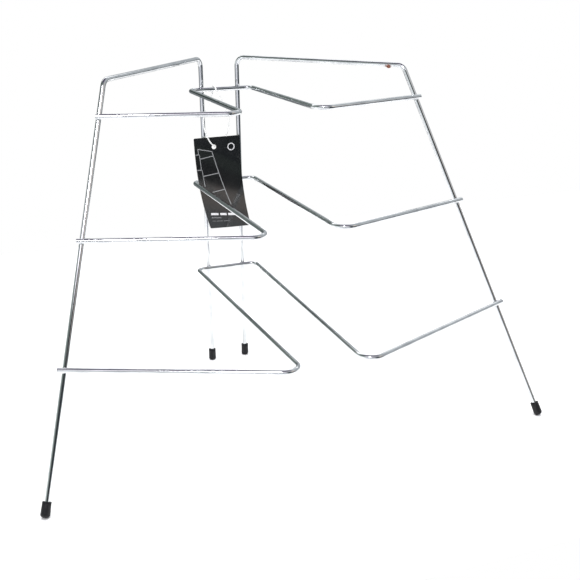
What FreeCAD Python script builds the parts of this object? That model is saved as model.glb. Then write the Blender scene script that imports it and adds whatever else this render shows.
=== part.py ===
"""Three-tier corner plate rack of bent chrome wire, with soft caps on its feet and a swing ticket on a loop.

Millimetres, +Z up. The origin is on the floor, midway between the rack's sides and midway between its
front and its back. +Y points into the corner of the room, so the plates go in from -Y.

Every bent wire is a round section swept along straight runs joined by tangent arcs. Where two wires
cross they are resistance welded: each pair is pressed together until the wires share weld_setdown.
"""

import FreeCAD
import Part
import Sketcher

import math
import os

from FreeCAD import Placement, Rotation, Vector

# Driving dimensions in millimetres and degrees. "forward" is a distance from the inner legs towards -Y,
# "side" a distance from the middle plane, "height" a distance from the floor to a wire's centreline.
DIMENSIONS = {
    "wire_diameter": 4.0,
    "weld_setdown": 0.4,
    "back_line": 131.6,
    "leg_side": 17.5,
    "bar_height_inner": 300.0,
    "bar_height_outer": 297.5,
    "shoulder_side": 128.0,
    "shoulder_forward": 120.0,
    "foot_side": 214.5,
    "foot_forward": 232.0,
    "frame_bend_radius": 8.0,
    "rail_back_side": 30.0,
    "back_bend_radius": 7.0,
    "front_bend_radius": 11.0,
    "bottom_height": 99.0,
    "bottom_front_side": 24.5,
    "bottom_forward": 271.0,
    "bottom_overhang": 4.5,
    "middle_height": 186.0,
    "middle_front_side": 28.5,
    "middle_forward": 212.5,
    "middle_overhang": 3.5,
    "top_height": 272.0,
    "top_front_side": 31.0,
    "top_forward": 165.0,
    "top_overhang": 2.0,
    "cap_diameter": 7.4,
    "cap_length": 11.6,
    "cap_taper": 1.0,
    "cap_bore": 3.9,
    "cap_base_wall": 1.2,
    "cap_edge_radius": 2.2,
    "cap_mouth_radius": 0.5,
    "card_width": 45.0,
    "card_thickness": 0.4,
    "card_straight": 14.0,
    "card_curl_radius": 120.0,
    "card_curl_angle": 35.0,
    "card_corner_radius": 1.2,
    "card_yaw": 6.0,
    "card_side": 5.5,
    "card_forward": 5.2,
    "card_top_height": 227.5,
    "hole_diameter": 4.4,
    "hole_side": 3.5,
    "hole_drop": 9.25,
    "strand_diameter": 1.2,
    "lock_diameter": 2.8,
    "lock_length": 5.0,
    "lock_edge_radius": 0.8,
}

TIERS = ("bottom", "middle", "top")

# A bend of the strand takes this share of the shorter run beside it.
BEND_SHARE = 0.45

# How often arm_end works out where an arm crosses its leg.
SETTLING_ROUNDS = 6

# The most by which a swept wire's volume may differ from its section times its length.
VOLUME_TOLERANCE = 0.002

# The nylon strand's route: from the lock behind the card, up on the right, over the top tier's back
# wire, down on the left in front of the left inner leg, through the card's hole and back to the lock.
STRAND_ROUTE = [
    (0.1, 129.0, 224.4),
    (3.6, 129.2, 227.4),
    (6.9, 129.1, 234.2),
    (7.3, 128.1, 243.6),
    (4.6, 126.8, 253.4),
    (0.2, 125.7, 261.6),
    (-4.0, 125.0, 268.8),
    (-6.6, 125.0, 275.2),
    (-6.4, 131.0, 275.2),
    (-7.0, 131.0, 269.2),
    (-10.4, 128.5, 261.8),
    (-16.4, 125.5, 253.4),
    (-19.9, 123.7, 242.4),
    (-17.3, 123.3, 230.8),
    (-12.9, 123.7, 222.8),
    (-9.0, 124.1, 219.4),
    (-8.2, 128.4, 218.8),
    (-5.0, 129.0, 220.6),
    (-2.3, 129.0, 222.4),
]


def fill_sheet(doc):
    """The spreadsheet of driving dimensions, one alias a row."""
    sheet = doc.addObject("Spreadsheet::Sheet", "dims")
    for row, (alias, value) in enumerate(DIMENSIONS.items(), start=1):
        sheet.set(f"A{row}", alias)
        sheet.set(f"B{row}", str(value))
        sheet.setAlias(f"B{row}", alias)
    doc.recompute()
    return sheet


def unit(vector):
    return vector * (1 / vector.Length)


def turn_at(before, corner, after):
    """The angle in radians by which a route turns at a corner."""
    return (corner - before).getAngle(after - corner)


def widest_radius(before, corner, after):
    """The bend radius that uses BEND_SHARE of the shorter run beside a corner."""
    shorter = min((corner - before).Length, (after - corner).Length)
    return BEND_SHARE * shorter / math.tan(turn_at(before, corner, after) / 2)


def bend_arc(before, corner, after, radius):
    """The arc that joins two straight runs at a corner, tangent to both."""
    half_turn = turn_at(before, corner, after) / 2
    inward = unit(corner - before)
    outward = unit(after - corner)
    trimmed = radius * math.tan(half_turn)
    start = corner - inward * trimmed
    end = corner + outward * trimmed
    towards_centre = unit(outward - inward)
    middle = corner + towards_centre * (radius / math.cos(half_turn) - radius)
    return Part.Arc(start, middle, end)


def rounded_route(corners, radii):
    """One wire of straight runs joined by tangent arcs. radii holds one radius for each inner corner."""
    edges = []
    start = corners[0]
    for before, corner, after, radius in zip(corners, corners[1:], corners[2:], radii):
        arc = bend_arc(before, corner, after, radius)
        edges.append(Part.LineSegment(start, arc.StartPoint).toShape())
        edges.append(arc.toShape())
        start = arc.EndPoint
    edges.append(Part.LineSegment(start, corners[-1]).toShape())
    return Part.Wire(edges)


def swept_wire(doc, node, corners, radii, diameter_cell):
    """A round wire swept along a rounded route; its section follows the sheet's diameter."""
    centreline = doc.addObject("Part::Feature", f"{node}_centreline")
    centreline.Shape = rounded_route(corners, radii)

    section = doc.addObject("Part::Circle", f"{node}_section")
    section.setExpression("Radius", f"dims.{diameter_cell} / 2")
    section.Placement = Placement(corners[0], Rotation(Vector(0, 0, 1), corners[1] - corners[0]))

    sweep = doc.addObject("Part::Sweep", node)
    sweep.Sections = [section]
    sweep.Spine = (centreline, [f"Edge{n + 1}" for n in range(len(centreline.Shape.Edges))])
    sweep.Solid = True
    sweep.Frenet = False
    sweep.Label = node
    return sweep


def point(sheet, side, forward, height):
    """A point of the rack from its distance to the side of the middle and forward of the inner legs."""
    return Vector(side, sheet.back_line - forward, height)


def outer_leg(sheet):
    """The right outer leg's centreline: its shoulder corner and the unit vector up it."""
    shoulder = point(sheet, sheet.shoulder_side, sheet.shoulder_forward, sheet.bar_height_outer)
    floor_point = point(sheet, sheet.foot_side, sheet.foot_forward, 0)
    return shoulder, unit(shoulder - floor_point)


def outer_cap_base(sheet):
    """Where the right outer cap's base centre lies: its rounded edge then just touches the floor."""
    shoulder, up = outer_leg(sheet)
    lean = up.getAngle(Vector(0, 0, 1))
    edge = sheet.cap_edge_radius
    flat = sheet.cap_diameter / 2 - edge
    height = edge + flat * math.sin(lean) - edge * math.cos(lean)
    return shoulder - up * ((shoulder.z - height) / up.z)


def mirrored(vector):
    return Vector(-vector.x, vector.y, vector.z)


def side_frames(doc, sheet):
    """The two side frames: an upright inner leg, a level top bar and a splayed outer leg, in one wire."""
    shoulder, up = outer_leg(sheet)
    corners = [
        point(sheet, sheet.leg_side, 0, sheet.cap_base_wall),
        point(sheet, sheet.leg_side, 0, sheet.bar_height_inner),
        shoulder,
        outer_cap_base(sheet) + up * sheet.cap_base_wall,
    ]
    radii = [sheet.frame_bend_radius] * 2
    right = swept_wire(doc, "right_frame", corners, radii, "wire_diameter")
    left = swept_wire(doc, "left_frame", [mirrored(c) for c in corners], radii, "wire_diameter")
    return [left, right]


def arm_end(sheet, front_corner, overhang):
    """The free end of a tier's right arm, which lies across the front of the right outer leg.

    The arm's direction depends on where it crosses the leg, and the crossing on the direction, so the
    two are worked out in turn until they settle.
    """
    pressed = sheet.wire_diameter - sheet.weld_setdown
    shoulder, up = outer_leg(sheet)
    on_leg = shoulder - up * ((shoulder.z - front_corner.z) / up.z)
    crossing = on_leg
    for _ in range(SETTLING_ROUNDS):
        along = unit(crossing - front_corner)
        ahead = Vector(along.y, -along.x, 0)
        slant = ahead.dot(up) / up.z
        crossing = on_leg + ahead * (pressed * math.sqrt(1 + slant * slant))
    return crossing + unit(crossing - front_corner) * overhang


def tier(doc, sheet, level):
    """One tier in one wire: arm, rail, short back run, rail and arm, welded to both side frames."""
    height = sheet.get(f"{level}_height")
    front = point(sheet, sheet.get(f"{level}_front_side"), sheet.get(f"{level}_forward"), height)
    back = point(sheet, sheet.rail_back_side, sheet.wire_diameter - sheet.weld_setdown, height)
    end = arm_end(sheet, front, sheet.get(f"{level}_overhang"))
    half = [end, front, back]
    corners = [mirrored(c) for c in half] + half[::-1]
    radii = [
        sheet.front_bend_radius,
        sheet.back_bend_radius,
        sheet.back_bend_radius,
        sheet.front_bend_radius,
    ]
    return swept_wire(doc, f"{level}_tier", corners, radii, "wire_diameter")


def origin_plane(body, role):
    return next(f for f in body.Origin.OriginFeatures if f.Role == role)


def plane_sketch(body, name, role):
    """An empty sketch on one of the body's own origin planes."""
    sketch = body.newObject("Sketcher::SketchObject", name)
    sketch.AttachmentSupport = (origin_plane(body, role), [""])
    sketch.MapMode = "FlatFace"
    return sketch


def circle_sketch(body, name, role, diameter_cell, centre=(0, 0)):
    """A sketch of one circle whose diameter is bound to the sheet."""
    sketch = plane_sketch(body, name, role)
    sketch.addGeometry(Part.Circle(Vector(*centre, 0), Vector(0, 0, 1), 1.0), False)
    sketch.addConstraint(Sketcher.Constraint("Diameter", 0, 2.0))
    sketch.setExpression("Constraints[0]", f"dims.{diameter_cell}")
    return sketch


def rounded_edges(doc, body, name, base, wanted, radius_cell):
    """A fillet on those edges of a feature that wanted(edge) picks, its radius bound to the sheet."""
    doc.recompute()
    picked = [f"Edge{n}" for n, edge in enumerate(base.Shape.Edges, start=1) if wanted(edge)]
    fillet = body.newObject("PartDesign::Fillet", name)
    fillet.Base = (base, picked)
    fillet.setExpression("Radius", f"dims.{radius_cell}")
    return fillet


def foot_cap(doc, sheet, node, placement):
    """A push-on foot cap: a tube, a little narrower at its mouth, with a closed, rounded base to stand on."""
    body = doc.addObject("PartDesign::Body", node)
    outline = circle_sketch(body, f"{node}_outline", "XY_Plane", "cap_diameter")
    solid = body.newObject("PartDesign::Pad", f"{node}_solid")
    solid.Profile = outline
    solid.setExpression("Length", "dims.cap_length")
    solid.setExpression("TaperAngle", "-dims.cap_taper")

    mouth = circle_sketch(body, f"{node}_mouth", "XY_Plane", "cap_bore")
    mouth.setExpression("AttachmentOffset.Base.z", "dims.cap_length")
    bore = body.newObject("PartDesign::Pocket", f"{node}_bore")
    bore.Profile = mouth
    bore.setExpression("Length", "dims.cap_length - dims.cap_base_wall")

    based = rounded_edges(
        doc, body, f"{node}_base", bore,
        lambda edge: edge.BoundBox.ZMax < sheet.cap_base_wall / 2, "cap_edge_radius",
    )
    rounded_edges(
        doc, body, f"{node}_rim", based,
        lambda edge: edge.BoundBox.ZMin > sheet.cap_length - sheet.cap_base_wall, "cap_mouth_radius",
    )
    body.Placement = placement
    body.Label = node
    return body


def foot_caps(doc, sheet):
    """Four caps: upright under the inner legs, and in line with the splayed outer legs."""
    upwards = Vector(0, 0, 1)
    _, up = outer_leg(sheet)
    inner = Placement(point(sheet, sheet.leg_side, 0, 0), Rotation())
    outer = Placement(outer_cap_base(sheet), Rotation(upwards, up))
    inner_left = Placement(mirrored(inner.Base), Rotation())
    outer_left = Placement(mirrored(outer.Base), Rotation(upwards, mirrored(up)))
    places = {
        "left_inner_cap": inner_left,
        "right_inner_cap": inner,
        "left_outer_cap": outer_left,
        "right_outer_cap": outer,
    }
    return [foot_cap(doc, sheet, node, place) for node, place in places.items()]


def card_profile(sheet, body):
    """The card seen edge on: straight at the top, then curling forward in one arc."""
    half = sheet.card_thickness / 2
    radius = sheet.card_curl_radius
    curl = math.radians(sheet.card_curl_angle)
    centre = Vector(-radius, -sheet.card_straight, 0)
    ray = Vector(math.cos(curl), -math.sin(curl), 0)
    back_top = Vector(half, 0, 0)
    back_bend = Vector(half, -sheet.card_straight, 0)
    back_end = centre + ray * (radius + half)
    front_end = centre + ray * (radius - half)
    front_bend = Vector(-half, -sheet.card_straight, 0)
    front_top = Vector(-half, 0, 0)
    upwards = Vector(0, 0, 1)
    sketch = plane_sketch(body, "card_profile", "YZ_Plane")
    sketch.addGeometry(
        [
            Part.LineSegment(back_top, back_bend),
            Part.ArcOfCircle(Part.Circle(centre, upwards, radius + half), -curl, 0),
            Part.LineSegment(back_end, front_end),
            Part.ArcOfCircle(Part.Circle(centre, upwards, radius - half), -curl, 0),
            Part.LineSegment(front_bend, front_top),
            Part.LineSegment(front_top, back_top),
        ],
        False,
    )
    start, end, middle = 1, 2, 3
    sketch.addConstraint(
        [
            Sketcher.Constraint("Tangent", 0, end, 1, end),
            Sketcher.Constraint("Coincident", 1, start, 2, start),
            Sketcher.Constraint("Coincident", 2, end, 3, start),
            Sketcher.Constraint("Tangent", 3, end, 4, start),
            Sketcher.Constraint("Coincident", 4, end, 5, start),
            Sketcher.Constraint("Coincident", 5, end, 0, start),
            Sketcher.Constraint("Coincident", 1, middle, 3, middle),
            Sketcher.Constraint("Horizontal", 5),
            Sketcher.Constraint("Vertical", 0),
            Sketcher.Constraint("Symmetric", 5, start, 5, end, -1, 1),
        ]
    )
    bound = {
        "thickness": (Sketcher.Constraint("Distance", 5, 2 * half), "dims.card_thickness"),
        "straight": (Sketcher.Constraint("Distance", 0, sheet.card_straight), "dims.card_straight"),
        "curl": (
            Sketcher.Constraint("Radius", 1, radius + half),
            "dims.card_curl_radius + dims.card_thickness / 2",
        ),
        "curl_angle": (Sketcher.Constraint("Angle", 1, curl), "dims.card_curl_angle * 1 deg"),
    }
    for name, (constraint, expression) in bound.items():
        index = sketch.addConstraint(constraint)
        sketch.renameConstraint(index, name)
        sketch.setExpression(f"Constraints.{name}", expression)
    return sketch


def swing_card(doc, sheet):
    """The swing ticket: a thin card that curls forward, with one round hole near its top edge."""
    body = doc.addObject("PartDesign::Body", "swing_card")
    sheet_solid = body.newObject("PartDesign::Pad", "card_solid")
    sheet_solid.Profile = card_profile(sheet, body)
    sheet_solid.SideType = "Symmetric"
    sheet_solid.setExpression("Length", "dims.card_width")

    hole_centre = (-sheet.hole_side, -sheet.hole_drop)
    punched = body.newObject("PartDesign::Pocket", "card_hole")
    punched.Profile = circle_sketch(body, "hole_outline", "XZ_Plane", "hole_diameter", hole_centre)
    punched.Type = "ThroughAll"
    punched.SideType = "Symmetric"
    rounded_edges(
        doc, body, "card_corners", punched,
        lambda edge: abs(edge.Length - sheet.card_thickness) < sheet.card_thickness / 10,
        "card_corner_radius",
    )
    top_centre = point(sheet, -sheet.card_side, sheet.card_forward, sheet.card_top_height)
    body.Placement = Placement(top_centre, Rotation(Vector(0, 0, 1), sheet.card_yaw))
    body.Label = "swing_card"
    return body


def loop_lock(doc, sheet):
    """The lock that holds both ends of the strand: a small barrel with rounded ends."""
    body = doc.addObject("PartDesign::Body", "loop_lock")
    barrel = body.newObject("PartDesign::Pad", "lock_barrel")
    barrel.Profile = circle_sketch(body, "lock_outline", "XY_Plane", "lock_diameter")
    barrel.SideType = "Symmetric"
    barrel.setExpression("Length", "dims.lock_length")
    rounded_edges(
        doc, body, "lock_ends", barrel, lambda edge: edge.Curve.TypeId == "Part::GeomCircle",
        "lock_edge_radius",
    )
    first = Vector(*STRAND_ROUTE[0])
    last = Vector(*STRAND_ROUTE[-1])
    body.Placement = Placement((first + last) / 2, Rotation(Vector(0, 0, 1), first - last))
    body.Label = "loop_lock"
    return body


def ticket_loop(doc, sheet):
    """The nylon strand that hangs the card, with bends as wide as its runs allow."""
    route = [Vector(*corner) for corner in STRAND_ROUTE]
    radii = [widest_radius(*three) for three in zip(route, route[1:], route[2:])]
    print("strand bend radii, mm:", [round(radius, 1) for radius in radii])
    return swept_wire(doc, "ticket_loop", route, radii, "strand_diameter")


def check_sweep(node):
    """Compare a swept wire's volume with its section times its length."""
    centreline, _ = node.Spine
    area = math.pi * node.Sections[0].Radius.Value ** 2
    expected = area * centreline.Shape.Length
    share = node.Shape.Volume / expected
    print(f"{node.Label}: {centreline.Shape.Length:.1f} mm long, volume {share:.4f} of section x length")
    if abs(share - 1) > VOLUME_TOLERANCE:
        raise RuntimeError(f"{node.Label} has the wrong volume")


def check_document(doc, nodes):
    """Stop unless every object was computed and every sub-part is one closed, valid solid."""
    for thing in doc.Objects:
        if {"Invalid", "Error"} & set(thing.State):
            raise RuntimeError(f"{thing.Name} failed: {thing.State}")
    for node in nodes:
        shape = node.Shape
        if shape.isNull() or not shape.isValid() or len(shape.Solids) != 1:
            raise RuntimeError(f"{node.Label} isn't one valid solid")
        if node.TypeId == "Part::Sweep":
            check_sweep(node)


def print_size(nodes):
    """Print the box round some sub-parts and the middle of its depth, which is at y = 0."""
    box = FreeCAD.BoundBox()
    for node in nodes:
        box.add(node.Shape.optimalBoundingBox(False))
    print(f"rack: {box.XLength:.1f} x {box.YLength:.1f} x {box.ZLength:.1f} mm, centre y {box.Center.y:.3f}")


def main():
    doc = FreeCAD.newDocument("corner_plate_rack")
    sheet = fill_sheet(doc)
    nodes = side_frames(doc, sheet)
    nodes += [tier(doc, sheet, level) for level in TIERS]
    nodes += foot_caps(doc, sheet)
    rack_nodes = list(nodes)
    nodes += [swing_card(doc, sheet), ticket_loop(doc, sheet), loop_lock(doc, sheet)]
    doc.recompute()
    check_document(doc, nodes)
    print_size(rack_nodes)

    os.makedirs("parts", exist_ok=True)
    for node in nodes:
        node.Shape.exportStep(f"parts/{node.Label}.step")
        print(f"{node.Label}: {node.Shape.Volume:.1f} mm3")


main()
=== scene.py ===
"""The looks of a corner plate rack: chrome plate, foot caps, a printed swing ticket and its loop.

Metres, in the CAD model's frame: the origin is on the floor, +Z up, +Y into the corner of the room.
"""

import math

import bmesh
import bpy
import numpy as np
from mathutils import Euler, Matrix, Vector, noise
from mathutils.geometry import intersect_line_line


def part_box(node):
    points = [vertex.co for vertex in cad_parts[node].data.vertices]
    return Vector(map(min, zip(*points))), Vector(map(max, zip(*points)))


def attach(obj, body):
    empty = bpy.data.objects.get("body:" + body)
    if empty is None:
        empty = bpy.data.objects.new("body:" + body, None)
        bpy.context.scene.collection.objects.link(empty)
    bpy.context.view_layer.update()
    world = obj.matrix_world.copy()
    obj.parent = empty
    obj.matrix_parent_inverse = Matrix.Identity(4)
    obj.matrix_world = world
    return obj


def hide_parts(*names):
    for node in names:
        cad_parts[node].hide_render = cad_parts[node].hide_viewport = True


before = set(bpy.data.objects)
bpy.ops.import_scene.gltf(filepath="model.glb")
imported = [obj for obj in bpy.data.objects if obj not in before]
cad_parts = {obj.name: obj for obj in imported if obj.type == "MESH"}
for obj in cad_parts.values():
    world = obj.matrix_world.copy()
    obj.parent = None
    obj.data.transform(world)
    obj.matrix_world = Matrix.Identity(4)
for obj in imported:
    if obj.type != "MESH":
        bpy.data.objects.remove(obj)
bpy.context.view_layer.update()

MM = 0.001
UP = Vector((0, 0, 1))

# The camera: where it stands, which way it looks and its lens.
CAMERA_PLACE = Vector((-0.2515, -0.6938, 0.3708))
CAMERA_AZIMUTH = math.radians(-21.19)
CAMERA_ELEVATION = math.radians(19.16)
CAMERA_ROLL = math.radians(0.617)
CAMERA_LENS = 56.13

# The nylon strand's route, the same as the CAD model's, and the strand's real length and diameter.
STRAND_ROUTE = [
    (0.0001, 0.1290, 0.2244),
    (0.0036, 0.1292, 0.2274),
    (0.0069, 0.1291, 0.2342),
    (0.0073, 0.1281, 0.2436),
    (0.0046, 0.1268, 0.2534),
    (0.0002, 0.1257, 0.2616),
    (-0.0040, 0.1250, 0.2688),
    (-0.0066, 0.1250, 0.2752),
    (-0.0064, 0.1310, 0.2752),
    (-0.0070, 0.1310, 0.2692),
    (-0.0104, 0.1285, 0.2618),
    (-0.0164, 0.1255, 0.2534),
    (-0.0199, 0.1237, 0.2424),
    (-0.0173, 0.1233, 0.2308),
    (-0.0129, 0.1237, 0.2228),
    (-0.0090, 0.1241, 0.2194),
    (-0.0082, 0.1284, 0.2188),
    (-0.0050, 0.1290, 0.2206),
    (-0.0023, 0.1290, 0.2224),
]
STRAND_DIAMETER = 1.2 * MM

# The CAD model's wires and caps. All the points of a wire's flat end are within END_REACH of each other.
WIRE_RADIUS = 2.0 * MM
END_REACH = 2.2 * WIRE_RADIUS
CAP_RADIUS = 3.7 * MM
CAP_LENGTH = 11.6 * MM
CAP_WALL = 1.2 * MM
CAP_EDGE = 2.2 * MM
CAP_TAPER = math.radians(1.0)
TIERS = ("bottom", "middle", "top")
SIDES = {"left": -1, "right": 1}

# What the visual caps have besides: a rolled lip, a mouth open round the wire, an uneven wall with two
# mould lines, and the distance that they keep inside the CAD caps.
CAP_LIP = 0.9 * MM
CAP_MOUTH_GAP = 0.12 * MM
CAP_MOUTH_DROP = 0.5 * MM
CAP_MOUTH_DEPTH = 2.5 * MM
CAP_BORE = 0.95 * WIRE_RADIUS
CAP_INSET = 0.02 * MM
WALL_WAVE = 0.05 * MM
MOULD_LINE = 0.05 * MM
LIP_WAVE = 0.22 * MM
LIP_SHARE = 0.15
CAP_STEPS = 72

# The card: its size, how it hangs, and its curl about a line that runs aslant of its edges.
CARD_WIDTH = 45.0 * MM
CARD_HEIGHT = 87.4 * MM
CARD_THICKNESS = 0.4 * MM
CARD_CORNER = 1.2 * MM
CARD_TOP = Vector((-0.0060, 0.1267, 0.2280))
CARD_TURN = Euler([math.radians(angle) for angle in (-3.1, -0.6, -0.7)]).to_matrix()
CURL_START = 10.0 * MM
CURL_RADIUS = 102.0 * MM
CURL_SLANT = math.radians(25.4)
GRID_STEP = 1.0 * MM
HOLE_CENTRE = (19.2 * MM, 9.2 * MM)
HOLE_RADIUS = 2.2 * MM
HOLE_PATCH = 3.0 * MM
INK_DEPTH = 0.03 * MM

# Rust spots on the right top bar: their places and how far they reach. The first has a drip of its own.
RUST_SPOTS = [((0.1192, 0.0212, 0.2956), 5.5 * MM), ((0.0440, 0.1030, 0.2975), 2.2 * MM)]
TOP_BAR_HEADING = Vector((0.68, -0.73, -0.02))

# The half lengths of the beads of metal: along the wire, across it, and off it.
WELD_SIZE = (2.3 * MM, 2.3 * MM, 1.1 * MM)
DRIP_SIZE = (1.9 * MM, 0.9 * MM, 1.0 * MM)
BEAD_LUMPS = 0.22

# The print on the card: a ring for the mark, in millimetres from the card's top left corner.
RING_CENTRE = Vector((36.0, 10.2))
RING_RADIUS = 3.1
RING_STEPS = 32

# The floor sheet's edges, which set how far up the legs the plate mirrors the white floor.
FLOOR_X = (-0.89, 0.84)
FLOOR_Y = (-0.265, 0.60)

# The headings that the room is measured along: to the front, the right, the front left, and up.
ROOM_AXES = {
    "ahead": (-0.2, -0.98, 0.0),
    "aside": (1.0, 0.0, 0.0),
    "leftwards": (-0.5, -0.87, 0.0),
    "height": (0.0, 0.0, 1.0),
}


# ---------------------------------------------------------------- small helpers


def link(name, data):
    """A new object in the scene that holds this data."""
    thing = bpy.data.objects.new(name, data)
    bpy.context.scene.collection.objects.link(thing)
    return thing


def mesh_object(name, bm, material, smooth=True):
    """A mesh piece from a bmesh, with its normals outwards and one material."""
    bmesh.ops.recalc_face_normals(bm, faces=bm.faces)
    data = bpy.data.meshes.new(name)
    bm.to_mesh(data)
    bm.free()
    data.polygons.foreach_set("use_smooth", [smooth] * len(data.polygons))
    data.materials.append(material)
    return link(name, data)


def mesh_points(node):
    """The different vertices of a CAD node, in the row frame."""
    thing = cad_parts[node]
    points = {tuple(round(c, 6) for c in thing.matrix_world @ vertex.co) for vertex in thing.data.vertices}
    return np.array(sorted(points))


def wire_end(node, towards):
    """The flat end of a CAD wire that lies furthest this way: its centre and the unit vector out of it."""
    points = mesh_points(node)
    tip = points[np.argmax(points @ np.array(towards))]
    ring = points[np.linalg.norm(points - tip, axis=1) < END_REACH]
    centre = ring.mean(axis=0)
    axis = np.linalg.svd(ring - centre)[2][2]
    outwards = axis if axis @ np.array(towards) > 0 else -axis
    return Vector(centre), Vector(outwards)


class Nodes:
    """A node tree and short ways to add nodes to it."""

    def __init__(self, tree):
        self.tree = tree

    def node(self, kind, values=(), outcome=0, **settings):
        """A new node: values go in its sockets by name or number, settings on the node itself."""
        made = self.tree.nodes.new(kind)
        for setting, value in settings.items():
            setattr(made, setting, value)
        for socket, value in dict(values).items():
            if isinstance(value, bpy.types.NodeSocket):
                self.tree.links.new(value, made.inputs[socket])
            else:
                made.inputs[socket].default_value = value
        return made.outputs[outcome]

    def range(self, value, low, high, to_low=0.0, to_high=1.0):
        """value mapped from low..high to to_low..to_high, smoothly and within them."""
        values = {"Value": value, "From Min": low, "From Max": high, "To Min": to_low, "To Max": to_high}
        return self.node("ShaderNodeMapRange", values, interpolation_type="SMOOTHSTEP")

    def add(self, first, second):
        return self.node("ShaderNodeMath", {0: first, 1: second}, operation="ADD")

    def times(self, first, second):
        return self.node("ShaderNodeMath", {0: first, 1: second}, operation="MULTIPLY")

    def larger(self, first, second):
        return self.node("ShaderNodeMath", {0: first, 1: second}, operation="MAXIMUM")

    def blend(self, share, first, second):
        """A colour between two others."""
        values = {"Factor": share, "A": first, "B": second}
        return self.node("ShaderNodeMix", values, "Result", data_type="RGBA")


class Surface(Nodes):
    """A Principled material, patterns on its surface, and short ways to drive its shader with them."""

    def __init__(self, name, **constants):
        self.material = bpy.data.materials.new(name)
        self.material.use_nodes = True
        super().__init__(self.material.node_tree)
        self.shader = self.tree.nodes["Principled BSDF"]
        for socket, value in constants.items():
            self.shader.inputs[socket.replace("_", " ")].default_value = value

    def place(self):
        """Where a point of the surface is in its own object, which is the row frame at rest."""
        return self.node("ShaderNodeTexCoord", outcome="Object")

    def noise(self, scale, detail=3.0, rough=0.5, stretch=None):
        """Noise of this many cells a metre. stretch scales it unevenly along X, Y and Z."""
        place = self.place()
        if stretch:
            place = self.node("ShaderNodeMapping", {"Vector": place, "Scale": stretch})
        values = {"Vector": place, "Scale": scale, "Detail": detail, "Roughness": rough}
        return self.node("ShaderNodeTexNoise", values)

    def spots(self, scale, size):
        """1 inside small round spots, one in each cell of this many a metre, and 0 outside."""
        near = self.node("ShaderNodeTexVoronoi", {"Vector": self.place(), "Scale": scale}, "Distance")
        return self.range(near, size, size * 0.6)

    def near(self, centre, reach):
        """1 at a point of the surface, falling to 0 at reach from it."""
        far = self.node("ShaderNodeVectorMath", {0: self.place(), 1: centre}, "Value", operation="DISTANCE")
        return self.range(far, 0.0, reach, 1.0, 0.0)

    def drive(self, socket, value):
        self.tree.links.new(value, self.shader.inputs[socket])

    def bump(self, height, depth):
        """Relief of this depth in metres."""
        self.drive("Normal", self.node("ShaderNodeBump", {"Height": height, "Distance": depth}))


# ---------------------------------------------------------------- materials


def chrome_plate(name, rust_spots=()):
    """Bright chrome on drawn steel wire: nearly a mirror, with clouded patches, ripples and pinholes."""
    plate = Surface(name, Metallic=1.0)
    cloud = plate.noise(70.0, detail=4.0)
    pinholes = plate.spots(450.0, 0.10)
    clear, clouded = (0.69, 0.705, 0.71, 1), (0.56, 0.575, 0.585, 1)
    colour = plate.blend(plate.range(cloud, 0.35, 0.7), clear, clouded)
    colour = plate.blend(pinholes, colour, (0.18, 0.17, 0.16, 1))
    roughness = plate.range(cloud, 0.3, 0.75, 0.05, 0.13)
    roughness = plate.add(roughness, plate.times(pinholes, 0.3))
    if rust_spots:
        near = 0.0
        for spot in rust_spots:
            near = plate.larger(plate.near(*spot), near)
        ragged = plate.times(near, plate.noise(900.0))
        rust = plate.range(ragged, 0.12, 0.3)
        brown = plate.blend(plate.noise(1600.0), (0.10, 0.025, 0.012, 1), (0.30, 0.085, 0.035, 1))
        colour = plate.blend(rust, colour, brown)
        roughness = plate.add(roughness, plate.times(rust, 0.6))
        plate.drive("Metallic", plate.range(rust, 0.0, 1.0, 1.0, 0.0))
    plate.drive("Base Color", colour)
    plate.drive("Roughness", roughness)
    ripple = plate.times(plate.noise(110.0, detail=1.0), 6.0)
    plate.bump(plate.add(ripple, plate.noise(2500.0, detail=2.0)), 0.006 * MM)
    return plate.material


def vinyl():
    """Soft black dipped vinyl: satin, finely pebbled, with a little dust and a few scuffs."""
    skin = Surface("cap_vinyl_skin", Specular_IOR_Level=0.3)
    dust = skin.noise(420.0, detail=6.0, rough=0.65)
    scuffs = skin.noise(260.0, detail=2.0, stretch=(1.0, 1.0, 0.15))
    clean, dusty = (0.0035, 0.0035, 0.005, 1), (0.015, 0.014, 0.017, 1)
    skin.drive("Base Color", skin.blend(skin.range(dust, 0.5, 0.8), clean, dusty))
    skin.drive("Roughness", skin.range(scuffs, 0.3, 0.7, 0.34, 0.58))
    skin.bump(skin.add(skin.noise(3200.0, detail=2.0), skin.noise(700.0)), 0.05 * MM)
    return skin.material


def nylon():
    """Milky extruded nylon: glossy, slightly see-through, with fine lines along it."""
    strand = Surface("nylon_milky", IOR=1.53, Subsurface_Weight=0.3, Subsurface_Radius=(1, 1, 1))
    strand.shader.inputs["Subsurface Scale"].default_value = 0.4 * MM
    milk = strand.noise(900.0, detail=2.0)
    strand.drive("Base Color", strand.blend(milk, (0.86, 0.87, 0.86, 1), (0.95, 0.95, 0.93, 1)))
    strand.drive("Roughness", strand.range(milk, 0.3, 0.7, 0.22, 0.36))
    strand.bump(strand.noise(1800.0, detail=2.0), 0.02 * MM)
    return strand.material


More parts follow.
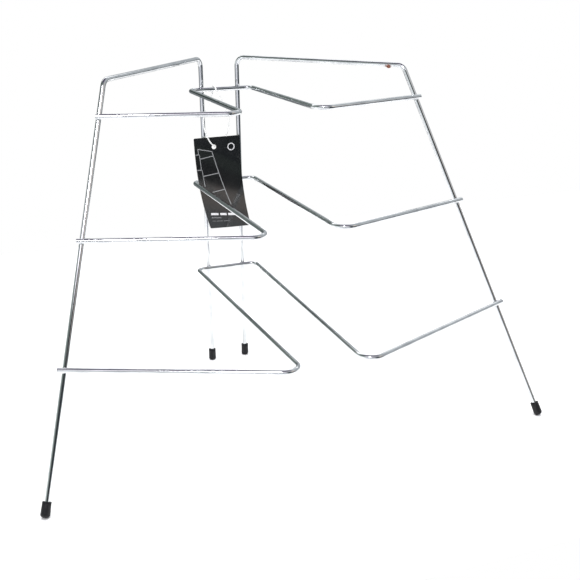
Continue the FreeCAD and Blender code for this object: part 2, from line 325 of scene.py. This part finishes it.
def laminated_card():
    """Card with a glossy black front, a pale cut edge and a bare board back."""
    card = Surface("ticket_laminated", IOR=1.7)
    facing = card.node("ShaderNodeTexCoord", outcome="Normal")
    ahead = card.node("ShaderNodeSeparateXYZ", {"Vector": facing}, "Y")
    front = card.range(ahead, -0.6, -0.45, 1.0, 0.0)
    back = card.range(ahead, 0.45, 0.6)
    fibres = card.noise(1500.0, detail=5.0, rough=0.7)
    board = card.blend(fibres, (0.42, 0.41, 0.38, 1), (0.60, 0.585, 0.55, 1))
    edge = card.blend(fibres, (0.30, 0.30, 0.29, 1), (0.55, 0.54, 0.52, 1))
    ink = card.blend(card.noise(260.0), (0.0095, 0.0105, 0.0105, 1), (0.0115, 0.0125, 0.0125, 1))
    card.drive("Base Color", card.blend(back, card.blend(front, edge, ink), board))
    haze = card.range(card.noise(90.0, detail=5.0), 0.35, 0.75, 0.09, 0.15)
    matt = card.range(front, 0.0, 1.0, 0.75, 0.0)
    card.drive("Roughness", card.add(haze, matt))
    relief = card.add(card.times(card.noise(45.0, detail=1.0), 9.0), card.noise(1600.0))
    card.bump(relief, 0.006 * MM)
    return card.material


def printing_ink(name, thin, thick):
    """Ink printed on the card, a little uneven."""
    ink = Surface(name)
    cover = ink.noise(1400.0, detail=3.0)
    ink.drive("Base Color", ink.blend(ink.range(cover, 0.3, 0.7), thin, thick))
    ink.drive("Roughness", ink.range(cover, 0.3, 0.7, 0.16, 0.28))
    return ink.material


def white_paper():
    """The seamless paper that the rack stands on."""
    paper = Surface("floor_paper", Roughness=0.9, Specular_IOR_Level=0.2)
    grain = paper.noise(60.0, detail=6.0, rough=0.6)
    paper.drive("Base Color", paper.blend(grain, (0.86, 0.86, 0.86, 1), (0.90, 0.90, 0.90, 1)))
    paper.bump(grain, 0.02 * MM)
    return paper.material


def assign(node, material):
    """Give a CAD node this material in place of its plain one."""
    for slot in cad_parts[node].material_slots:
        slot.material = material


# ---------------------------------------------------------------- camera and the loop


def make_camera():
    """The camera, from its azimuth round +Z from -Y, its elevation and its roll."""
    data = bpy.data.cameras.new("camera")
    data.lens = CAMERA_LENS
    data.sensor_width = 36.0
    data.clip_start = 0.02
    camera = link("camera", data)
    back = Vector((
        math.sin(CAMERA_AZIMUTH) * math.cos(CAMERA_ELEVATION),
        -math.cos(CAMERA_AZIMUTH) * math.cos(CAMERA_ELEVATION),
        math.sin(CAMERA_ELEVATION),
    ))
    turned = (-back).to_track_quat("-Z", "Y").to_matrix().to_4x4()
    camera.matrix_world = Matrix.Translation(CAMERA_PLACE) @ turned @ Matrix.Rotation(-CAMERA_ROLL, 4, "Z")
    bpy.context.scene.camera = camera


def make_loop(material):
    """The nylon strand that hangs the ticket from the top tier's back wire."""
    curve = bpy.data.curves.new("nylon_loop", "CURVE")
    curve.dimensions = "3D"
    curve.bevel_depth = STRAND_DIAMETER / 2
    curve.bevel_resolution = 6
    curve.resolution_u = 12
    curve.use_fill_caps = True
    spline = curve.splines.new("NURBS")
    spline.points.add(len(STRAND_ROUTE) - 1)
    for point, corner in zip(spline.points, STRAND_ROUTE):
        point.co = (*corner, 1.0)
    spline.order_u = 3
    spline.use_endpoint_u = True
    curve.materials.append(material)
    loop = link("nylon_loop", curve)
    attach(loop, "ticket")
    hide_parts("ticket_loop")


# ---------------------------------------------------------------- foot caps and welds


def cap_outline():
    """A cap's outline from its base's centre to the inside of its mouth, as (radius, height) pairs."""
    flat = CAP_RADIUS - CAP_EDGE
    outline = [(flat * share, 0.0) for share in (0.0, 0.5)]
    for turn in np.linspace(0, math.pi / 2, 8):
        outline.append((flat + CAP_EDGE * math.sin(turn), CAP_EDGE * (1 - math.cos(turn))))
    for height in np.linspace(CAP_EDGE, CAP_LENGTH - CAP_LIP, 9)[1:]:
        outline.append((CAP_RADIUS - math.tan(CAP_TAPER) * height, height))
    roll = CAP_LIP / 2
    lip_centre = outline[-1][0] - 0.75 * roll
    for turn in np.linspace(math.pi * 0.9, 0.0, 7):
        outline.append((lip_centre + roll * math.sin(turn), outline[-1][1] + CAP_LIP / 8))
    outline.append((WIRE_RADIUS + CAP_MOUTH_GAP, CAP_LENGTH - CAP_MOUTH_DROP))
    outline.append((CAP_BORE, CAP_LENGTH - CAP_MOUTH_DEPTH))
    outline.append((0.0, CAP_LENGTH - CAP_MOUTH_DEPTH))
    return outline


def cap_ring(radius, height, seed):
    """The points of a cap's skin at one height: an uneven wall with two mould lines, and a wavy lip."""
    outside = radius > WIRE_RADIUS + 2 * CAP_MOUTH_GAP
    wall = min(height / CAP_EDGE, 1.0) if outside else 0.0
    lip = max(0.0, height / CAP_LENGTH - (1 - LIP_SHARE)) / LIP_SHARE
    points = []
    for step in range(CAP_STEPS):
        angle = math.tau * step / CAP_STEPS
        spot = Vector((math.cos(angle), math.sin(angle), 0))
        uneven = WALL_WAVE * (noise.noise(spot * 1.5 + seed * 900 + UP * height / (3 * MM)) - 1.0)
        mould_line = MOULD_LINE if step % (CAP_STEPS // 2) == 0 else 0.0
        outer = radius + wall * min(-CAP_INSET, uneven + mould_line)
        lift = LIP_WAVE * noise.noise(spot * 1.2 + seed * 700) * lip
        points.append(spot * outer + UP * (height + lift))
    return points


def foot_cap(name, node, wire, towards, material):
    """A dipped vinyl cap pushed onto the wire's end, in place of the CAD model's."""
    end, outwards = wire_end(wire, towards)
    base = end + outwards * (CAP_WALL - CAP_INSET)
    place = Matrix.Translation(base) @ outwards.to_track_quat("-Z", "Y").to_matrix().to_4x4()
    bm = bmesh.new()
    rings = []
    for radius, height in cap_outline():
        points = cap_ring(radius, height, base) if radius else [UP * height]
        rings.append([bm.verts.new(place @ point) for point in points])
    for lower, upper in zip(rings, rings[1:]):
        for step in range(CAP_STEPS):
            after = (step + 1) % CAP_STEPS
            corners = [lower[step % len(lower)], lower[after % len(lower)]]
            corners += [upper[after % len(upper)], upper[step % len(upper)]]
            bm.faces.new(list(dict.fromkeys(corners)))
    cap = mesh_object(name, bm, material)
    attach(cap, "rack")
    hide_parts(node)


def make_caps(material):
    """Four caps: on the lower ends of each side frame's inner and outer legs."""
    for side, sign in SIDES.items():
        wire = f"{side}_frame"
        foot_cap(f"{side}_inner_foot", f"{side}_inner_cap", wire, (-sign, 1, -1), material)
        foot_cap(f"{side}_outer_foot", f"{side}_outer_cap", wire, (sign, -1, -1), material)


def bead(name, centre, turned, size, material):
    """A lumpy bead of metal on the wires: turned gives its axes and size its half lengths along them."""
    bm = bmesh.new()
    bmesh.ops.create_icosphere(bm, subdivisions=4, radius=1.0)
    for vertex in bm.verts:
        lump = 1.0 + BEAD_LUMPS * noise.noise(vertex.co * 1.7 + centre * 500)
        vertex.co = centre + turned @ (vertex.co * Vector(size) * lump)
    lump_piece = mesh_object(name, bm, material)
    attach(lump_piece, "rack")


def weld(name, first, second, material):
    """The metal squeezed out where two wires are welded, plated with them."""
    near, far = intersect_line_line(first[0], first[0] + first[1], second[0], second[0] + second[1])
    across = (far - near).normalized()
    along = second[1].normalized()
    turned = Matrix((along, across.cross(along), across)).transposed()
    bead(name, (near + far) / 2, turned, WELD_SIZE, material)


def make_drip(material):
    """A rusted drip under the right top bar, just before its outer bend."""
    spot = Vector(RUST_SPOTS[0][0])
    along = TOP_BAR_HEADING.normalized()
    turned = Matrix((along, UP.cross(along), UP)).transposed()
    bead("rust_drip", spot, turned, DRIP_SIZE, material)


def make_welds(material):
    """Twelve welds: each tier's back wire on both inner legs, and its two arms on the outer legs."""
    for tier in TIERS:
        low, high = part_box(f"{tier}_tier")
        back_wire = (Vector((0, high[1] - WIRE_RADIUS, (low[2] + high[2]) / 2)), Vector((1, 0, 0)))
        for side, sign in SIDES.items():
            inner_leg = wire_end(f"{side}_frame", (-sign, 1, -1))
            outer_leg = wire_end(f"{side}_frame", (sign, -1, -1))
            arm = wire_end(f"{tier}_tier", (sign, 0, 0))
            weld(f"weld_{tier}_{side}_inner", back_wire, inner_leg, material)
            weld(f"weld_{tier}_{side}_outer", arm, outer_leg, material)


# ---------------------------------------------------------------- swing card


def card_point(across, down, lift=0.0):
    """The curled card's point at this place on the flat sheet, measured from its top left corner.

    lift is the point's distance in front of the middle of the card's thickness.
    """
    aside = across - CARD_WIDTH / 2
    along = aside * math.cos(CURL_SLANT) + down * math.sin(CURL_SLANT)
    fall = down * math.cos(CURL_SLANT) - aside * math.sin(CURL_SLANT)
    curl = max(0.0, fall - CURL_START) / CURL_RADIUS
    if curl:
        fall = CURL_START + (CURL_RADIUS - lift) * math.sin(curl)
    ahead = CURL_RADIUS - (CURL_RADIUS - lift) * math.cos(curl)
    flat = Vector((
        along * math.cos(CURL_SLANT) - fall * math.sin(CURL_SLANT),
        -ahead,
        -along * math.sin(CURL_SLANT) - fall * math.cos(CURL_SLANT),
    ))
    return CARD_TOP + CARD_TURN @ flat


def grid_lines(length):
    """Lines across the sheet: a few near each end, to round its corners, and one a millimetre between."""
    near_end = [0.0, 0.3 * CARD_CORNER, 0.7 * CARD_CORNER]
    middle = np.arange(CARD_CORNER, length - CARD_CORNER - GRID_STEP / 2, GRID_STEP)
    return near_end + list(middle) + [length - CARD_CORNER] + [length - line for line in near_end[::-1]]


def rounded(across, down):
    """A point of the sheet, drawn in to the rounded corner if it lies outside it."""
    inner = Vector((
        min(max(across, CARD_CORNER), CARD_WIDTH - CARD_CORNER),
        min(max(down, CARD_CORNER), CARD_HEIGHT - CARD_CORNER),
    ))
    out = Vector((across, down)) - inner
    if out.length > CARD_CORNER:
        out *= CARD_CORNER / out.length
    return inner + out


def make_card(material):
    """The card as one curled sheet with a punched hole, given its thickness at the end."""
    bm = bmesh.new()
    columns = grid_lines(CARD_WIDTH)
    rows = grid_lines(CARD_HEIGHT)
    centre = Vector(HOLE_CENTRE)
    verts = {}
    for i, across in enumerate(columns):
        for j, down in enumerate(rows):
            off = Vector((across, down)) - centre
            if max(abs(off.x), abs(off.y)) < HOLE_PATCH - GRID_STEP / 2:
                continue
            verts[i, j] = bm.verts.new(card_point(*rounded(across, down)))
    for i in range(len(columns) - 1):
        for j in range(len(rows) - 1):
            corners = [verts.get(key) for key in ((i, j), (i + 1, j), (i + 1, j + 1), (i, j + 1))]
            if None not in corners:
                bm.faces.new(corners)
    rim = [key for key in verts if patch_rim(columns[key[0]], rows[key[1]])]
    rim.sort(key=lambda key: math.atan2(rows[key[1]] - centre.y, columns[key[0]] - centre.x))
    outer = [verts[key] for key in rim]
    for share in (0.5, 1.0):
        inner = []
        for key in rim:
            off = Vector((columns[key[0]], rows[key[1]])) - centre
            spot = centre + off.lerp(off.normalized() * HOLE_RADIUS, share)
            inner.append(bm.verts.new(card_point(*spot)))
        for n in range(len(rim)):
            after = (n + 1) % len(rim)
            bm.faces.new([outer[n], outer[after], inner[after], inner[n]])
        outer = inner
    card = mesh_object("swing_card_printed", bm, material)
    solid = card.modifiers.new("thickness", "SOLIDIFY")
    solid.thickness = CARD_THICKNESS
    solid.offset = 0.0
    crease = card.modifiers.new("edges", "EDGE_SPLIT")
    crease.split_angle = math.radians(50)
    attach(card, "ticket")
    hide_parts("swing_card")


def patch_rim(across, down):
    """Whether a grid point lies on the square round the card's hole."""
    off = Vector((across, down)) - Vector(HOLE_CENTRE)
    return abs(max(abs(off.x), abs(off.y)) - HOLE_PATCH) < GRID_STEP / 4


def ink_stroke(bm, corners, width, closed=False):
    """A printed line along these points of the sheet, in millimetres, as a thin closed ribbon."""
    points = [Vector(corner) * MM for corner in corners]
    if closed:
        points.append(points[0])
    route = [points[0]]
    for start, end in zip(points, points[1:]):
        steps = max(1, math.ceil((end - start).length / (2 * GRID_STEP)))
        route += [start.lerp(end, (n + 1) / steps) for n in range(steps)]
    sections = []
    for n, spot in enumerate(route):
        before = route[n - 1] if n else (route[-2] if closed else spot)
        after = route[n + 1] if n + 1 < len(route) else (route[1] if closed else spot)
        heading = (after - before).normalized()
        aside = Vector((-heading.y, heading.x)) * width * MM / 2
        top = CARD_THICKNESS / 2 + INK_DEPTH
        low = CARD_THICKNESS / 2 - INK_DEPTH
        section = [(spot - aside, low), (spot - aside, top), (spot + aside, top), (spot + aside, low)]
        sections.append([bm.verts.new(card_point(*place, lift)) for place, lift in section])
    if closed:
        sections[-1] = sections[0]
    for first, second in zip(sections, sections[1:]):
        for n in range(4):
            bm.faces.new([first[n], first[(n + 1) % 4], second[(n + 1) % 4], second[n]])
    if not closed:
        bm.faces.new(sections[0])
        bm.faces.new(sections[-1][::-1])


def printed(name, bm, material):
    """A printed piece from its strokes, which swings with the card."""
    bmesh.ops.remove_doubles(bm, verts=bm.verts, dist=0.001 * MM)
    print_piece = mesh_object(name, bm, material, smooth=False)
    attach(print_piece, "ticket")


def ink_bars(bm, spans, down, slope, width):
    """Bars in place of a line of wording, which starts this far down the sheet and falls by slope."""
    for left, right in spans:
        ink_stroke(bm, [(left, down + left * slope), (right, down + right * slope)], width)


def make_print():
    """The card's print: a side frame and its tiers in outline, a plain ring, and bars for the wording."""
    drawing = bmesh.new()
    ink_stroke(drawing, [(3.3, 10.2), (16.9, 13.4), (29.2, 65.3)], 0.85)
    ink_stroke(drawing, [(3.3, 10.2), (3.7, 15.3), (4.5, 16.2), (4.7, 29.6), (5.4, 30.6), (5.8, 46.0)], 0.7)
    for start, end in (
        ((0.5, 15.6), (4.0, 15.3)), ((0.5, 29.9), (5.0, 29.8)),
        ((4.6, 19.6), (18.0, 17.6)), ((5.9, 35.9), (22.0, 34.1)), ((12.5, 51.8), (25.8, 50.0)),
    ):
        ink_stroke(drawing, [start, end], 0.85)
    grey = printing_ink("ink_grey", (0.20, 0.205, 0.21, 1), (0.29, 0.295, 0.30, 1))
    printed("card_drawing", drawing, grey)

    mark = bmesh.new()
    turns = [math.tau * step / RING_STEPS for step in range(RING_STEPS)]
    ring = [RING_CENTRE + RING_RADIUS * Vector((math.cos(turn), math.sin(turn))) for turn in turns]
    ink_stroke(mark, ring, 0.9, closed=True)
    white = printing_ink("ink_white", (0.60, 0.60, 0.61, 1), (0.78, 0.78, 0.79, 1))
    printed("card_ring", mark, white)

    heading = bmesh.new()
    ink_bars(heading, [(5.4, 13.2), (15.0, 21.8), (23.6, 31.2)], 72.468, 0.08, 2.2)
    printed("card_heading_bars", heading, white)

    small = bmesh.new()
    ink_stroke(small, [(5.0, 76.6), (15.3, 77.3)], 1.2)
    ink_bars(small, [(4.6, 8.2), (9.4, 15.6), (16.8, 23.5)], 79.9, 0.05, 0.7)
    faint = printing_ink("ink_faint", (0.10, 0.10, 0.105, 1), (0.17, 0.17, 0.175, 1))
    printed("card_small_bars", small, faint)


# ---------------------------------------------------------------- stage


def make_floor():
    """A sheet of white paper under the rack, deeper behind it than in front."""
    left, right = FLOOR_X
    front, back = FLOOR_Y
    bm = bmesh.new()
    corners = [(left, front, 0), (right, front, 0), (right, back, 0), (left, back, 0)]
    bm.faces.new([bm.verts.new(corner) for corner in corners])
    floor = mesh_object("floor", bm, white_paper(), smooth=False)


def soft_light(name, place, target, size, power, in_reflections=True):
    """A square area light that points at target."""
    data = bpy.data.lights.new(name, "AREA")
    data.shape = "SQUARE"
    data.size = size
    data.energy = power
    lamp = link(name, data)
    lamp.location = place
    lamp.rotation_euler = (Vector(target) - Vector(place)).to_track_quat("-Z", "Y").to_euler()
    lamp.visible_glossy = in_reflections


def make_lights():
    """A broad light overhead, which the plate doesn't mirror, and a small key light at the front left."""
    soft_light("overhead", (0.0, 0.1, 2.2), (0, 0.1, 0), 2.6, 80.0, in_reflections=False)
    soft_light("key", (-0.9, -1.5, 1.5), (0, 0, 0.15), 0.35, 12.0)


def make_world():
    """The room that the plate mirrors, one part laid over another. Seen directly it is plain white."""
    world = bpy.data.worlds.new("studio")
    world.use_nodes = True
    bpy.context.scene.world = world
    nodes = Nodes(world.node_tree)
    nodes.tree.nodes.clear()
    direction = nodes.node("ShaderNodeTexCoord", outcome="Generated")
    measures = {}
    for axis, heading in ROOM_AXES.items():
        pair = {0: direction, 1: heading}
        measures[axis] = nodes.node("ShaderNodeVectorMath", pair, "Value", operation="DOT_PRODUCT")

    def inside(*bounds):
        """1 inside all these bounds: each has an axis, where the part begins and where it is complete."""
        share = 1.0
        for axis, begins, complete in bounds:
            share = nodes.times(share, nodes.range(measures[axis], begins, complete))
        return share

    left_wall, right_wall = (0.18, 0.215, 0.20, 1), (0.57, 0.60, 0.63, 1)
    room = nodes.blend(inside(("aside", -0.29, 0.48)), left_wall, right_wall)
    doorway = inside(("ahead", -0.84, -0.89), ("aside", -0.02, -0.31))
    room = nodes.blend(doorway, room, (0.02, 0.03, 0.03, 1))
    low_left = inside(("aside", -0.44, -0.79), ("height", 0.35, 0.11))
    room = nodes.blend(low_left, room, (0.98, 1.06, 1.05, 1))
    low_front = inside(("ahead", 0.38, 0.45), ("height", 0.47, 0.41), ("aside", -0.60, -0.25))
    shade = nodes.blend(inside(("height", 0.10, 0.22)), (0.11, 0.14, 0.13, 1), (0.03, 0.03, 0.04, 1))
    room = nodes.blend(low_front, room, shade)
    window = inside(("leftwards", 0.60, 0.68), ("height", 0.45, 0.52), ("height", 0.92, 0.80))
    room = nodes.blend(window, room, (2.2, 2.1, 2.3, 1))
    high_back = inside(("ahead", -0.40, -0.58), ("height", 0.52, 0.57))
    room = nodes.blend(high_back, room, (2.0, 2.0, 2.05, 1))
    high_right = inside(("aside", 0.30, 0.62), ("height", 0.62, 0.69))
    room = nodes.blend(high_right, room, (0.58, 0.62, 0.65, 1))
    ceiling = inside(("height", 0.83, 0.93))
    room = nodes.blend(ceiling, room, (0.13, 0.10, 0.17, 1))
    front_right = inside(("aside", 0.49, 0.53), ("ahead", 0.13, 0.50), ("height", 0.12, 0.16))
    room = nodes.blend(front_right, room, (0.98, 0.87, 0.81, 1))

    pale_ground, dark_ground = (0.97, 0.98, 1.05, 1), (0.02, 0.03, 0.05, 1)
    ground_ahead = nodes.blend(inside(("aside", -0.01, 0.29)), pale_ground, dark_ground)
    ground = nodes.blend(inside(("ahead", 0.09, 0.17)), (0.21, 0.23, 0.24, 1), ground_ahead)
    room = nodes.blend(inside(("height", -0.02, 0.02)), ground, room)

    seen = nodes.node("ShaderNodeLightPath", outcome="Is Camera Ray")
    colour = nodes.blend(seen, room, (1.0, 1.0, 1.0, 1))
    background = nodes.node("ShaderNodeBackground", {"Color": colour, "Strength": 1.0})
    output = nodes.tree.nodes.new("ShaderNodeOutputWorld")
    nodes.tree.links.new(background, output.inputs["Surface"])
    bpy.context.scene.view_settings.view_transform = "Standard"


# ---------------------------------------------------------------- making


make_camera()
milky = nylon()
make_loop(milky)
assign("loop_lock", milky)
bright = chrome_plate("chrome_bright")
for node_name in ("left_frame", *(f"{tier}_tier" for tier in TIERS)):
    assign(node_name, bright)
rusted = chrome_plate("chrome_rusted", RUST_SPOTS)
assign("right_frame", rusted)
make_welds(bright)
make_drip(rusted)
make_caps(vinyl())
make_card(laminated_card())
make_print()
make_floor()
make_lights()
make_world()
